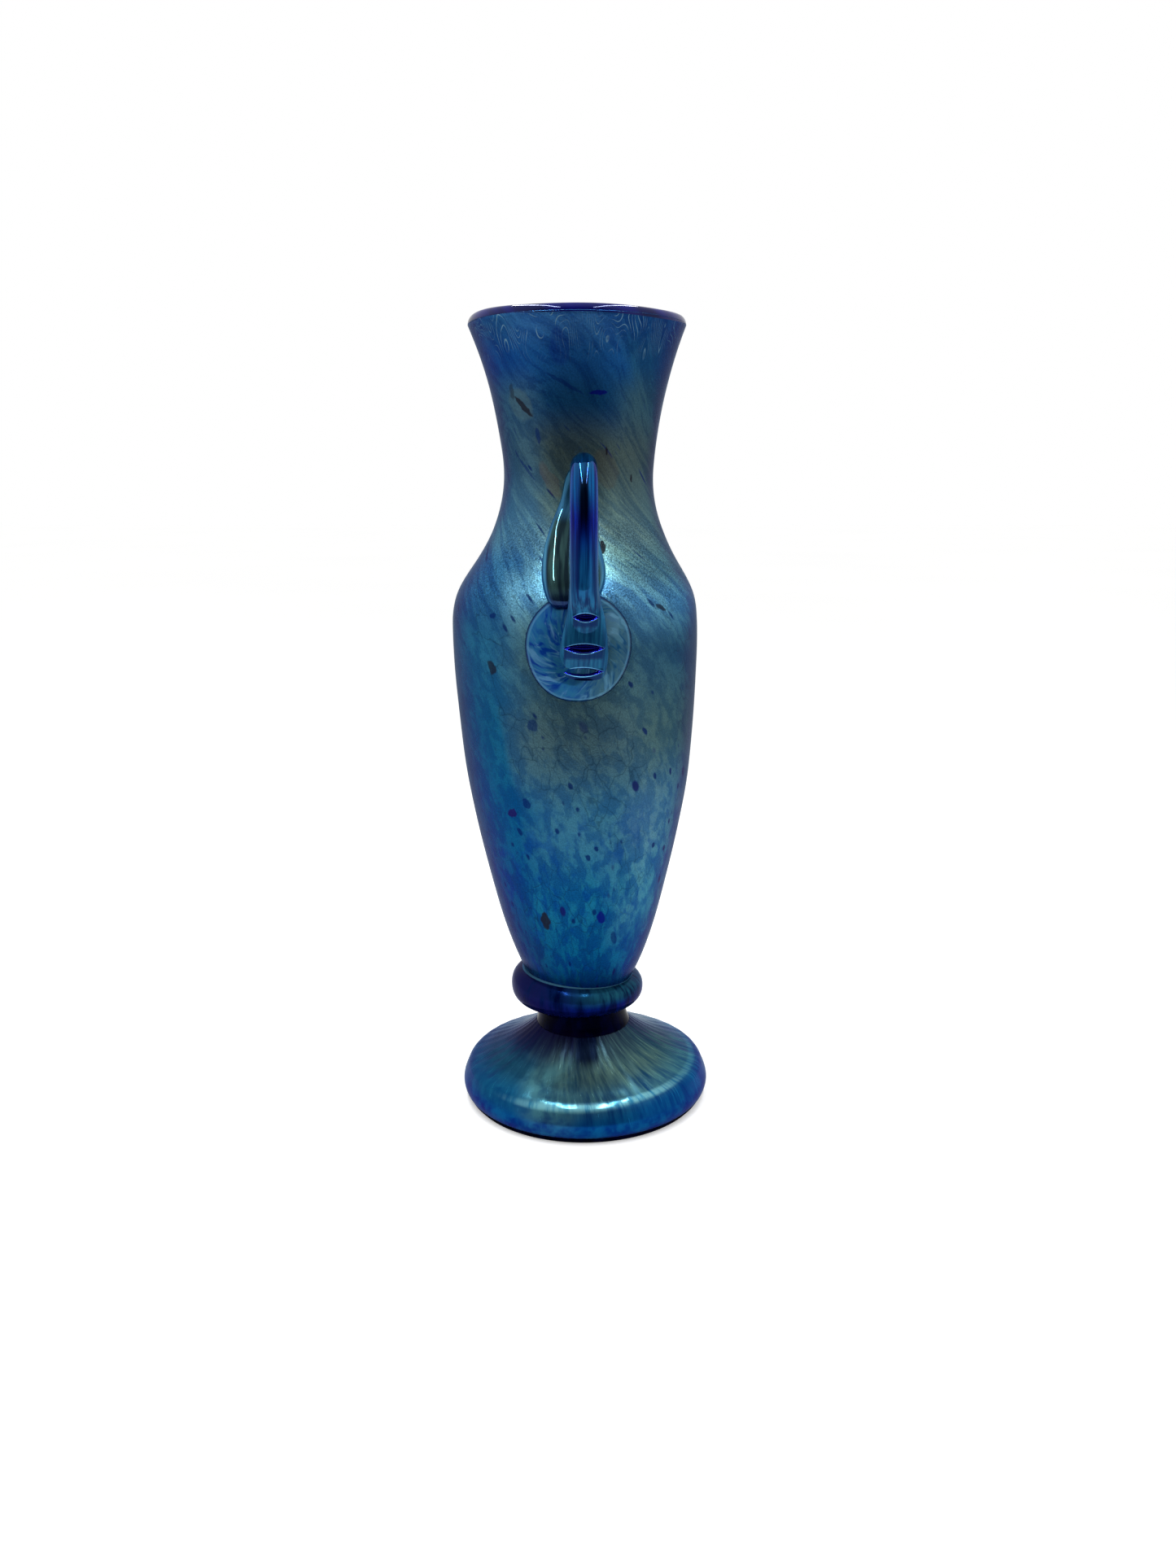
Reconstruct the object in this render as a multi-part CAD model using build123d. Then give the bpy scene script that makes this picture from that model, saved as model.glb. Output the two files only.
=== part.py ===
from build123d import *
import os

# Hand blown amphora vase in cobalt glass with an iridescent overlay, two applied handles and a
# domed foot. Millimetres, +Z up, origin at the centre of the foot's underside. The front handle
# is on the -Y side, and the rear one is the same handle turned half round.

# ---- driving dimensions ----
height = 254.0            # foot to lip
wall = 3.2                # body wall, overlay included
overlay = 0.8             # thickness of the iridescent overlay
lip_bead = 2.4            # height of the clear bead above the overlay
overlay_top = height - lip_bead

# outside of the body, from its seat on the stem to the lip: (radius, height)
body_outline = [
    (12.0, 34.0),
    (18.2, 44.0),
    (24.4, 60.0),
    (30.8, 85.0),
    (36.1, 112.0),
    (38.5, 138.0),
    (39.2, 160.0),
    (37.7, 171.0),
    (31.4, 182.0),
    (25.5, 194.0),
    (23.2, 206.0),
    (24.1, 218.0),
    (28.9, 240.0),
    (33.1, overlay_top),
]
hollow_floor = 50.0       # lowest point of the hollow
hollow_stations = 2       # the hollow's side starts at this station; below it the glass is solid

collar_radius = 21.7
collar_centre = (16.4, 38.3)
collar_half_height = 4.9

stem_radius = 15.8
stem_waist = 15.0
stem_foot = 25.5          # where the stem meets the foot
stem_head = 34.0          # where the body sits on the stem

# outside of the foot, from the overlay's lower edge to the stem: (radius, height)
foot_outline = [
    (41.2, 2.5),
    (41.9, 6.3),
    (39.2, 11.2),
    (30.0, 16.3),
    (20.0, 22.0),
    (stem_radius, stem_foot),
]
overlay_step = (0.7, 0.6)  # the foot's overlay lies this far outside and above its core
base_outer = 39.4         # outer and inner radius of the standing ring
base_inner = 31.0
kick = 5.0                # rise of the dished underside at its middle
pontil_depth = 0.8        # pontil mark, ground and polished
pontil_ball = 33.4        # its hollow is part of this ball, which makes it 18 mm across

# handle, measured in the plane through the vase's axis: reach is the distance from the axis
disc_height = 157.6
disc_reach = 35.5
disc_size = (15.4, 7.5, 16.0)      # half width, half thickness, half height

# cross-sections of the drop: (height, reach, half width, half thickness)
drop_sections = [
    (172.0, 36.4, 6.8, 3.4),
    (176.0, 34.6, 8.9, 5.0),
    (181.5, 31.6, 9.4, 5.8),
    (188.0, 28.4, 8.4, 5.3),
    (196.0, 25.6, 6.2, 4.4),
    (204.0, 24.2, 4.3, 3.6),
    (209.5, 24.0, 3.3, 3.0),
]
drop_ends = [(169.0, 37.0), (213.0, 23.6)]   # (height, reach)
drop_middle = 197.0                # height where the drop crosses the plane of the axis
drop_lean = 0.07                   # its sideways lean, towards +X as it rises

rod_radius = 4.0
rod_side = 1.9                     # the rod stands this far to one side of the vase's axis
rod_start = (23.0, 201.5)
rod_rise = (0, -0.6, 0.8)          # direction in which the rod leaves the neck
bend_radius = 10.0
bend_centre = (35.5, 199.0)
rod_reach = bend_centre[0] + bend_radius
rod_end = 180.0

# cross-sections of the pressed tail: (height, reach, half width, half thickness)
tail_sections = [
    (rod_end, rod_reach, rod_radius, rod_radius),
    (172.5, 44.9, 4.4, 3.8),
    (165.5, 43.6, 6.8, 2.8),
    (157.0, 43.4, 6.7, 2.2),
    (148.6, 42.2, 6.2, 1.4),
]
# crimps across the tail: (height, reach, half width)
crimps = [
    (166.8, 45.2, 5.0),
    (157.2, 45.0, 6.4),
    (151.2, 44.2, 6.4),
]
crimp_depth = 2.2
crimp_half_height = 2.0


def section_point(radius, level):
    """A point in the half plane that is turned about Z to make a round piece."""
    return Vector(radius, 0, level)


def handle_point(reach, level, side=0.0):
    """A point of the front handle, which is on the -Y side."""
    return Vector(side, -reach, level)


def turned(outline):
    """A round solid, from the lines and curves that close half its section."""
    edges = [edge for line in outline for edge in line.edges()]
    return revolve(Face(Wire(edges)), Axis.Z)


def inset(outline, depth):
    return [(radius - depth, level) for radius, level in outline]


def curve(outline):
    return Spline([section_point(*station) for station in outline])


def polyline(*stations):
    return Polyline([section_point(*station) for station in stations])


def body_envelope():
    """Everything inside the outside of the body, used to cut what is applied to it."""
    outside = curve(body_outline)
    closing = polyline(body_outline[-1], (0, overlay_top), (0, stem_head), body_outline[0])
    return turned([outside, closing])


def body_overlay():
    outer = curve(body_outline)
    inner = curve(inset(body_outline, overlay))
    low_edge = Line(outer @ 0, inner @ 0)
    high_edge = Line(outer @ 1, inner @ 1)
    return turned([outer, low_edge, inner, high_edge])


def body_bubble():
    core = inset(body_outline, overlay)
    hollow = inset(body_outline[hollow_stations:], wall)
    rim_radius = body_outline[-1][0]
    outside = curve(core)
    step = polyline(core[-1], body_outline[-1])
    lip_top = section_point(rim_radius - wall / 2, height)
    lip = ThreePointArc(section_point(rim_radius, overlay_top), lip_top,
                        section_point(rim_radius - wall, overlay_top))
    hollow_axis = section_point(0, hollow_floor)
    inside = Spline([section_point(*station) for station in reversed(hollow)] + [hollow_axis],
                    tangents=[outside % 1 * -1, Vector(-1, 0, 0)])
    closing = polyline((0, hollow_floor), (0, stem_head), core[0])
    return turned([outside, step, lip, inside, closing])


def collar(envelope, stem):
    centre = section_point(*collar_centre)
    ring_plane = Plane(origin=centre, x_dir=(1, 0, 0), z_dir=(0, -1, 0))
    section = ring_plane * Ellipse(collar_radius - collar_centre[0], collar_half_height)
    ring = revolve(section, Axis.Z)
    return ring - envelope - stem


def stem_button():
    middle = (stem_foot + stem_head) / 2
    side = ThreePointArc(section_point(stem_radius, stem_foot), section_point(stem_waist, middle),
                         section_point(stem_radius, stem_head))
    closing = polyline((stem_radius, stem_head), (0, stem_head), (0, stem_foot),
                       (stem_radius, stem_foot))
    return turned([side, closing])


def foot_core_outline():
    return [(radius - overlay_step[0], level - overlay_step[1]) for radius, level in foot_outline]


def foot_overlay():
    outer = curve(foot_outline)
    inner = curve(foot_core_outline())
    low_edge = Line(outer @ 0, inner @ 0)
    high_edge = Line(outer @ 1, inner @ 1)
    return turned([outer, low_edge, inner, high_edge])


def foot_disc():
    core = foot_core_outline()
    low_side = polyline((0, 0), (base_outer, 0), foot_outline[0], core[0])
    top = curve(core)
    closing = polyline(core[-1], foot_outline[-1], (0, stem_foot), (0, 0))
    disc = turned([low_side, top, closing])
    kick_ball = (base_inner ** 2 + kick ** 2) / (2 * kick)
    underside = Pos(0, 0, kick - kick_ball) * Sphere(kick_ball)
    pontil = Pos(0, 0, kick + pontil_depth - pontil_ball) * Sphere(pontil_ball)
    return disc - underside - pontil


def handle_disc(envelope):
    blank = scale(Sphere(1), by=disc_size)
    return Pos(handle_point(disc_reach, disc_height)) * blank - envelope


def handle_section(level, reach, half_width, half_thickness):
    """A level oval of the front handle."""
    return Plane(handle_point(reach, level)) * Ellipse(half_width, half_thickness)


def handle_drop(envelope, disc):
    """A long teardrop that runs up the shoulder and the neck, blunt end down."""
    low_end, high_end = [Vertex(*handle_point(reach, level)) for level, reach in drop_ends]
    blank = loft([low_end] + [handle_section(*oval) for oval in drop_sections] + [high_end])
    lean = Plane(origin=(0, 0, drop_middle), x_dir=(1, 0, 0), z_dir=(drop_lean, 0, 1))
    return lean * Pos(0, 0, -drop_middle) * blank - envelope - disc


def handle_rod(envelope, disc, drop):
    centre = Vector(0, -bend_centre[0], bend_centre[1])
    start = handle_point(*rod_start)
    turn_end = handle_point(rod_reach, bend_centre[1])
    crown = centre + Vector(0, 0, bend_radius)
    rise = Spline([start, crown], tangents=[rod_rise, (0, -1, 0)])
    bend_middle = centre + Vector(0, -1, 1).normalized() * bend_radius
    bend = ThreePointArc(crown, bend_middle, turn_end)
    drop_run = Line(turn_end, handle_point(rod_reach, rod_end))
    path = Wire([rise, bend, drop_run])
    round_section = Plane(origin=start, z_dir=rise % 0) * Circle(rod_radius)
    rod = sweep(round_section, path)
    tail = loft([handle_section(*oval) for oval in tail_sections])
    for level, reach, half_width in crimps:
        crimp = scale(Sphere(1), by=(half_width, crimp_depth, crimp_half_height))
        tail += Pos(handle_point(reach, level)) * crimp
    whole = Pos(rod_side, 0, 0) * (rod + tail)
    return whole - envelope - disc - drop


def build():
    envelope = body_envelope()
    stem = stem_button()
    pieces = {
        "body_bubble": body_bubble(),
        "body_overlay": body_overlay(),
        "collar": collar(envelope, stem),
        "stem": stem,
        "foot_disc": foot_disc(),
        "foot_overlay": foot_overlay(),
    }
    disc = handle_disc(envelope)
    drop = handle_drop(envelope, disc)
    rod = handle_rod(envelope, disc, drop)
    for side, turn in (("front", 0), ("rear", 180)):
        pieces[side + "_handle_disc"] = Rot(Z=turn) * disc
        pieces[side + "_handle_drop"] = Rot(Z=turn) * drop
        pieces[side + "_handle_rod"] = Rot(Z=turn) * rod
    return pieces


os.makedirs("parts", exist_ok=True)
for name, piece in build().items():
    export_step(piece, "parts/" + name + ".step")
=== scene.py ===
import math

import bmesh
import bpy
import numpy as np
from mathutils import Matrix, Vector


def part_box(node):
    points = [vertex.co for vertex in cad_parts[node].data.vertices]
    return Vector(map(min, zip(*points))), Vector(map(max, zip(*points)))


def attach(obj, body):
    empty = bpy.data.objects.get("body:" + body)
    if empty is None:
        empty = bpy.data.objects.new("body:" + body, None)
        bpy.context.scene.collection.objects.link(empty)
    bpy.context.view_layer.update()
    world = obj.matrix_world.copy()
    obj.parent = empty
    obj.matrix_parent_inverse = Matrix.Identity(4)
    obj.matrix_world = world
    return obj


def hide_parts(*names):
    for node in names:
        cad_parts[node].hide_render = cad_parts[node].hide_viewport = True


# Looks of a hand blown glass vase: an iridescent skin over cobalt glass, two applied handles, a
# collar, a stem and a domed foot. Shapes are worked out in millimetres and made in metres. The
# outlines of the round pieces are read from the frame. The front handle is on the -Y side.

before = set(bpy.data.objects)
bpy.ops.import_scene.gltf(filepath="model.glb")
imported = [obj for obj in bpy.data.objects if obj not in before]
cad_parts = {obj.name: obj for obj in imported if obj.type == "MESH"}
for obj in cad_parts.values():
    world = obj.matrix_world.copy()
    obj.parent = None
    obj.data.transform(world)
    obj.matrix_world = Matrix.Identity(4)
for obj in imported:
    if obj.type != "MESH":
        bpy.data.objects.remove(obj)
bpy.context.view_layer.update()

MM = 0.001

# ---- driving numbers, in millimetres unless they say otherwise ----
SKIN = 0.8                # thickness of the iridescent skin
SINK = 0.4                # how deep applied glass is sunk into the skin that it lies on

# The vase isn't quite straight: its sideways drift (+X) at each height.
DRIFT_HEIGHTS = (0, 16, 26, 34, 50, 80, 110, 145, 164, 174, 190, 212, 242, 254)
DRIFT = (2.4, 2.5, 1.7, 0.8, 0.8, 0.3, 0.0, -0.5, -0.7, -0.4, 0.3, 0.5, 0.2, 0.0)

# How much the drawn glass turns with height (radians a millimetre), and how far its pattern is
# squeezed along the axis, which is what makes it streaky.
TWIST_HEIGHTS = (34, 100, 150, 168, 185, 205, 254)
TWIST = (0.0, 0.005, 0.010, 0.022, 0.041, 0.036, 0.034)
SQUEEZE = (0.58, 0.60, 0.55, 0.34, 0.20, 0.16, 0.20)
FLOW_RADIUS = 32.0


def drift(levels):
    return np.interp(levels, DRIFT_HEIGHTS, DRIFT)


def unevenness(angle, level):
    """How far the blown glass is out of round."""
    slow = 0.15 * np.sin(2 * angle + level / 33 + 0.6)
    lobes = 0.09 * np.sin(3 * angle - level / 19 + 1.0)
    ripple = 0.05 * np.sin(7 * angle + level / 6.5 + 2.0) * np.sin(level / 11)
    return slow + lobes + ripple


def through(stations, amount):
    """Points of a smooth line through the stations, evenly spread in station number."""
    stations = np.array(stations, float)
    last = len(stations) - 1
    slopes = np.gradient(stations, axis=0)
    at = np.linspace(0, last, amount)
    start = np.minimum(at.astype(int), last - 1)
    t = (at - start)[:, None]
    a, b = stations[start], stations[start + 1]
    return (
        (2 * t**3 - 3 * t**2 + 1) * a
        + (t**3 - 2 * t**2 + t) * slopes[start]
        + (3 * t**2 - 2 * t**3) * b
        + (t**3 - t**2) * slopes[start + 1]
    )


# ---- outlines from the frame ----
def side_of(node, outward, low=-math.inf):
    """Heights and radii of the outer side of a round CAD node, or of its inner side."""
    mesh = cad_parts[node].data
    spots = np.empty(len(mesh.vertices) * 3)
    normals = np.empty(len(mesh.vertices) * 3)
    mesh.vertices.foreach_get("co", spots)
    mesh.vertices.foreach_get("normal", normals)
    x, y, level = spots.reshape(-1, 3).T / MM
    radius = np.hypot(x, y)
    nx, ny, _ = normals.reshape(-1, 3).T
    facing = (nx * x + ny * y) / np.maximum(radius, 1e-6)
    chosen = (facing > 0.25 if outward else facing < -0.25) & (level > low)
    order = np.argsort(level[chosen])
    return level[chosen][order], radius[chosen][order]


def size_of(node):
    low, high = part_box(node)
    return [c / MM for c in low], [c / MM for c in high]


body_levels, body_radii = side_of("body_overlay", True)
foot_levels, foot_radii = side_of("foot_overlay", True)
hollow_levels, hollow_radii = side_of("body_bubble", False)
skin_top = size_of("body_overlay")[1][2]
skin_bottom = size_of("body_overlay")[0][2]
lip_top = size_of("body_bubble")[1][2]


def body_radius(levels):
    return np.interp(levels, body_levels, body_radii)


def body_reach(side, x, levels):
    """Distance of the skin's surface in front of the axis plane, for the front handle (side 1) or
    the rear one (-1), which is shaped as a front one and then turned half round."""
    across = np.clip(np.abs(x - side * drift(levels)) / body_radius(levels), 0, 0.98)
    return body_radius(levels) * np.sqrt(1 - across**2)


# ---- mesh making ----
def show(thing):
    bpy.context.scene.collection.objects.link(thing)


def shell(name, rings, closed=False, flow=None):
    """A piece whose skin runs through rings of points. A closed one joins its last ring to its
    first; otherwise each end is capped."""
    rows, columns = rings.shape[:2]
    index = np.arange(rows * columns).reshape(rows, columns)
    above = np.roll(index, -1, axis=0) if closed else index[1:]
    below = index if closed else index[:-1]
    quads = np.stack([below, np.roll(below, -1, 1), np.roll(above, -1, 1), above], -1)
    faces = quads.reshape(-1, 4).tolist()
    points = rings.reshape(-1, 3)
    flows = points if flow is None else flow.reshape(-1, 3)
    if not closed:
        for row in (0, rows - 1):
            centre = len(points)
            points = np.vstack([points, rings[row].mean(axis=0)])
            flows = np.vstack([flows, flows[row * columns:(row + 1) * columns].mean(axis=0)])
            ends = index[row]
            faces += [[a, b, centre] for a, b in zip(ends.tolist(), np.roll(ends, -1).tolist())]
    mesh = bpy.data.meshes.new(name)
    mesh.from_pydata((points * MM).tolist(), [], faces)
    work = bmesh.new()
    work.from_mesh(mesh)
    bmesh.ops.recalc_face_normals(work, faces=work.faces)
    work.to_mesh(mesh)
    work.free()
    mesh.polygons.foreach_set("use_smooth", [True] * len(mesh.polygons))
    pattern = mesh.attributes.new("flow", "FLOAT_VECTOR", "POINT")
    pattern.data.foreach_set("vector", flows.astype(np.float32).ravel())
    piece = bpy.data.objects.new(name, mesh)
    show(piece)
    return piece


def fit(piece, material, slot, *nodes):
    """Gives a piece its material and its place in the frame."""
    piece.data.materials.append(material)
    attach(piece, "root")
    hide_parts(*nodes)


def around(columns):
    return np.linspace(0, 2 * math.pi, columns, endpoint=False) - math.pi / 2


def turned(radii, levels, columns, lift=None):
    """Rings of a round piece, with the hand-made drift and unevenness. The lift raises points."""
    angle = around(columns)[None, :]
    levels = np.broadcast_to(np.asarray(levels, float)[:, None], (len(levels), columns))
    radii = np.asarray(radii, float)[:, None]
    radii = radii + unevenness(angle, levels) * (radii > 1)
    raised = levels if lift is None else levels + lift(angle, levels)
    x = radii * np.cos(angle) + drift(levels)
    return np.stack([x, radii * np.sin(angle), raised], -1)


def blunt(value, power):
    """A cosine or sine that draws an ellipse, or something squarer at a power below 1."""
    return np.sign(value) * np.abs(value)**power


def body_flow(levels, columns):
    """Where each point of the body is in the pattern of the drawn glass."""
    fine = np.linspace(0, 260, 521)
    step = fine[1] - fine[0]
    turn = np.cumsum(np.interp(fine, TWIST_HEIGHTS, TWIST)) * step
    run = np.cumsum(np.interp(fine, TWIST_HEIGHTS, SQUEEZE)) * step
    angle = around(columns)[None, :] + np.interp(levels, fine, turn)[:, None]
    along = np.broadcast_to(np.interp(levels, fine, run)[:, None], angle.shape)
    return np.stack([FLOW_RADIUS * np.cos(angle), FLOW_RADIUS * np.sin(angle), along], -1)


# ---- round pieces ----
def body_skin():
    columns, rows, inner_rows = 320, 224, 30
    outer = np.linspace(skin_bottom, skin_top, rows)
    inner = np.linspace(skin_top, skin_bottom, inner_rows)
    levels = np.concatenate([outer, inner])
    depth = np.concatenate([np.zeros(rows), np.full(inner_rows, SKIN)])
    return shell("body_overlay_skin", turned(body_radius(levels) - depth, levels, columns),
                 closed=True, flow=body_flow(levels, columns))


def lip_wave(angle, levels):
    """The fire-polished lip is slightly wavy, and on average a little lower than in the frame."""
    wave_start, wave_run, sag = 246, 8, 0.25
    near = np.clip((levels - wave_start) / wave_run, 0, 1)
    return near * (0.22 * np.sin(2 * angle + 0.5) + 0.1 * np.sin(5 * angle + 2) - sag)


def body_glass():
    """The bubble: its outside under the skin, the lip's bead, the wall and the hollow's floor."""
    columns, rows, solid_below = 200, 60, 16
    wall_end = body_radius(skin_top)
    inner_end = np.interp(skin_top, hollow_levels, hollow_radii)
    bead = np.linspace(0, math.pi, 15)[1:-1]
    bead_middle, bead_half = (wall_end + inner_end) / 2, (wall_end - inner_end) / 2
    outside = np.linspace(skin_bottom, skin_top, rows)
    depth = np.append(np.full(rows - 1, SKIN), 0.05 * SKIN)
    floor_edge = hollow_levels[0]
    inside = np.linspace(skin_top, floor_edge, 90)
    floor = size_of("body_bubble")[0][2] + solid_below
    bowl = np.linspace(0, math.pi / 2, 10)[1:-1]
    levels = np.concatenate([
        outside, skin_top + (lip_top - skin_top) * np.sin(bead), inside,
        floor_edge - (floor_edge - floor) * np.sin(bowl), [floor]])
    radii = np.concatenate([
        body_radius(outside) - depth,
        bead_middle + bead_half * np.cos(bead),
        np.interp(inside, hollow_levels, hollow_radii),
        hollow_radii[0] * np.cos(bowl), [0.3]])
    return shell("body_bubble_glass", turned(radii, levels, columns, lift=lip_wave),
                 flow=body_flow(levels, columns))


def collar_ring():
    """A thread of glass wrapped round the body's foot, thicker on the -X side."""
    columns, rows = 240, 64
    rise, bulge, thick = 2.6, 1.3, 6.0
    ring_level, offset = 38.0, -0.4
    low, high = size_of("collar")
    angle = around(columns)[None, :]
    left = 0.5 - 0.5 * np.cos(angle)
    top = high[2] + rise * left - 0.1
    bottom = low[2] + 0.15 * np.sin(3 * angle)
    middle, half = (top + bottom) / 2, (top - bottom) / 2
    outer = high[0] + bulge * left + 0.12 * np.sin(4 * angle + 1)

    def section(turn):
        radius = outer - thick + thick * blunt(np.cos(turn), 0.85)
        return radius, middle + half * blunt(np.sin(turn), 0.9)

    # the seam is where the ring's upper side comes out of the body
    upper = np.linspace(0.5, 1.5, 200)[:, None]
    radius, level = section(upper)
    gap = np.abs(radius - body_radius(level))
    seam = upper[np.argmin(gap, axis=0), 0][None, :]
    turn = np.linspace(-math.pi, math.pi, rows, endpoint=False)[:, None]
    radius, level = section(turn)
    x = radius * np.cos(angle) + drift(ring_level) + offset
    points = np.stack(np.broadcast_arrays(x, radius * np.sin(angle), level), -1)
    flow = np.stack(np.broadcast_arrays(20 * np.cos(angle), 20 * np.sin(angle), turn - seam), -1)
    return shell("collar_ring", points, closed=True, flow=flow)


def stem_button():
    """The stem, whose ends run a little way into the body and the foot."""
    overlap = 0.6
    levels, radii = side_of("stem", True)
    rows = np.linspace(levels[0] - overlap, levels[-1] + overlap, 24)
    return shell("stem_button", turned(np.interp(rows, levels, radii), rows, 160))


def foot_reading(amount):
    """The foot's outer outline, from its lower edge over the dome to the stem. The glass is
    rolled slightly outwards and up along the dome's edge."""
    roll_radius, roll_width, roll_start = 38.8, 2.2, 7.5
    levels = np.linspace(foot_levels[0], foot_levels[-1], 400)
    radii = np.interp(levels, foot_levels, foot_radii)
    roll = np.exp(-((radii - roll_radius) / roll_width)**2)
    roll *= np.clip((levels - roll_start) / 3, 0, 1)
    radii, levels = radii + 0.45 * roll, levels + 0.55 * roll
    run = np.concatenate([[0], np.cumsum(np.hypot(np.diff(levels), np.diff(radii)))])
    at = np.linspace(0, run[-1], amount)
    return np.interp(at, run, levels), np.interp(at, run, radii)


def foot_flow(radii, levels, columns):
    """The foot's pattern is drawn outwards from the stem, with a slight swirl."""
    edge, swirl, squeeze = 42, 0.006, 0.16
    out = edge - np.asarray(radii) + np.asarray(levels) * 0.25
    angle = around(columns)[None, :] + out[:, None] * swirl
    along = np.broadcast_to((out * squeeze)[:, None], angle.shape)
    return np.stack([FLOW_RADIUS * np.cos(angle), FLOW_RADIUS * np.sin(angle), along], -1)


def foot_skin():
    """The foot's skin, with faint ribs that run out over the dome."""
    columns, thick, rib_start = 300, 0.5, 10
    levels, radii = foot_reading(150)
    inner_levels, inner_radii = foot_reading(24)
    levels = np.concatenate([levels, inner_levels[::-1] - thick])
    radii = np.concatenate([radii, inner_radii[::-1] - thick])
    flow = foot_flow(radii, levels, columns)
    ribs = 0.05 * np.sin(41 * around(columns) + 0.8 * np.sin(5 * around(columns)))
    rings = turned(radii, levels, columns)
    rings[..., 2] += ribs[None, :] * np.clip((levels - rib_start) / 4, 0, 1)[:, None]
    return shell("foot_overlay_skin", rings, closed=True, flow=flow)


def foot_glass():
    """The core of the foot, with its standing ring, dished underside and polished pontil mark."""
    columns, under_skin = 220, 0.45
    base_outer, base_inner, kick = 39.4, 31.0, 5.0
    pontil_radius, pontil_depth = 9.0, 0.8
    dish = np.linspace(0, 1, 26)
    dish_radii = base_inner * dish
    dish_levels = kick * (1 - dish**2)
    dish_levels += pontil_depth * np.sqrt(np.clip(1 - (dish_radii / pontil_radius)**2, 0, 1))
    levels, radii = foot_reading(60)
    levels = np.concatenate([
        dish_levels, [0.0, 0.0, 1.0], levels - under_skin, [levels[-1]]])
    radii = np.concatenate([
        dish_radii + 0.3, [base_inner + 1, base_outer, base_outer + 0.9],
        radii - under_skin, [2.0]])
    flow = foot_flow(radii, levels, columns)
    return shell("foot_glass", turned(radii, levels, columns), flow=flow)


# ---- handles, shaped on the -Y side ----
def placed(points, side):
    """Points of (x, reach, level), turned to the handle's side of the vase."""
    return np.stack([side * points[..., 0], -side * points[..., 1], points[..., 2]], -1)


def handle_pad(name, side):
    """The round pad pressed on the shoulder: crowned, slightly uneven, with soft dents."""
    columns, rows, back_rows = 150, 44, 14
    low, high = size_of("front_handle_disc")
    middle_x, middle_z = 0.3, (low[2] + high[2]) / 2 - 0.2
    half_x, half_z = (high[0] - low[0]) / 2 + 0.3, (high[2] - low[2]) / 2 + 1.4
    swell = -low[1] - body_radius(middle_z)
    front, back = np.linspace(0.02, 1, rows)**0.8, np.linspace(0.995, 0.02, back_rows)
    across = np.concatenate([front, back])
    angle = around(columns)[None, :]
    wander = 1 + 0.012 * np.sin(2 * angle + 1) + 0.008 * np.sin(5 * angle)
    x = middle_x + across[:, None] * half_x * wander * np.cos(angle)
    z = middle_z + across[:, None] * half_z * wander * np.sin(angle)
    thickness = swell * np.sqrt(np.clip(1 - across**3, 0, 1))
    thickness[rows:] = 0
    dents = 0.12 * np.sin(x / 2.1 + z / 4) * np.sin(z / 2.6 - x / 5)
    thickness = thickness[:, None]
    reach = body_reach(side, x, z) - SINK + thickness + dents * (thickness > 1)
    points = np.stack([x, reach, z], -1)
    curl = angle + 1.1 * across[:, None]
    out = np.broadcast_to(across[:, None] * 15, x.shape)
    flow = np.stack([11 * np.cos(curl), 11 * np.sin(curl), out], -1)
    return shell(name, placed(points, side), flow=flow)


def handle_drop(name, side):
    """A long glossy teardrop on the shoulder and the neck, blunt end down."""
    rows, columns = 120, 72
    low, high = size_of("front_handle_drop")
    # height, reach, x, half width, half thickness
    stations = [
        (low[2] - 2.4, 38.2, -1.6, 2.0, 0.8),
        (low[2] - 1.4, 38.4, -1.6, 5.0, 2.4),
        (172.0, 38.2, -1.4, 7.4, 4.5),
        (176.0, 35.9, -1.1, 9.0, 5.3),
        (181.0, 33.0, -1.1, 9.3, 5.6),
        (187.0, 29.8, -1.5, 8.1, 5.5),
        (193.5, 26.9, -1.2, 6.3, 4.6),
        (200.0, 25.0, 0.0, 4.9, 4.0),
        (207.0, 24.1, 1.1, 4.1, 3.3),
        (high[2], 23.4, 1.4, 0.6, 0.4),
    ]
    level, reach, x, wide, thick = through(stations, rows).T[:, :, None]
    wide, thick = np.maximum(wide, 0.2), np.maximum(thick, 0.2)
    angle = around(columns)[None, :]
    soft = 1 + 0.025 * np.sin(3 * angle + level / 7) + 0.015 * np.sin(5 * angle - level / 4)
    cosine, sine = blunt(np.cos(angle), 0.5), blunt(np.sin(angle), 0.5)
    x = x + wide * soft * cosine
    reach = reach - thick * soft * sine
    level = np.broadcast_to(level, x.shape)
    reach = np.maximum(reach, body_reach(side, x, level) - SINK)
    points = np.stack([x, reach, level], -1)
    flow = np.stack(np.broadcast_arrays(8 * cosine, 5 * sine, level * 0.10), -1)
    return shell(name, placed(points, side), flow=flow)


ROD_RADIUS = 4.0
ROD_END = 180.0           # height where the rod begins to flatten into its tail
# cross-sections of the tail: (reach, height, half width, half thickness)
TAIL = (
    (45.5, ROD_END, ROD_RADIUS, ROD_RADIUS),
    (45.3, 176.5, 4.1, 3.8),
    (44.6, 173.0, 4.5, 3.2),
    (43.4, 170.0, 5.0, 2.4),
    (42.8, 167.0, 5.6, 2.1),
    (42.4, 163.0, 6.4, 1.8),
    (42.2, 160.0, 6.9, 1.6),
    (41.9, 156.0, 7.3, 1.4),
    (41.3, 152.0, 7.0, 1.1),
    (40.6, 149.6, 6.2, 0.9),
    (40.2, 148.4, 4.6, 0.6),
    (39.9, 147.9, 2.0, 0.3),
)
# grooves pressed across the tail: (height, x, half width, half height, rise of its lower lip)
CRIMPS = (
    (167.4, 2.4, 3.9, 1.15, 1.2),
    (158.4, 1.9, 6.2, 1.3, 1.5),
    (151.5, 1.5, 6.3, 1.2, 1.4),
)


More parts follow.
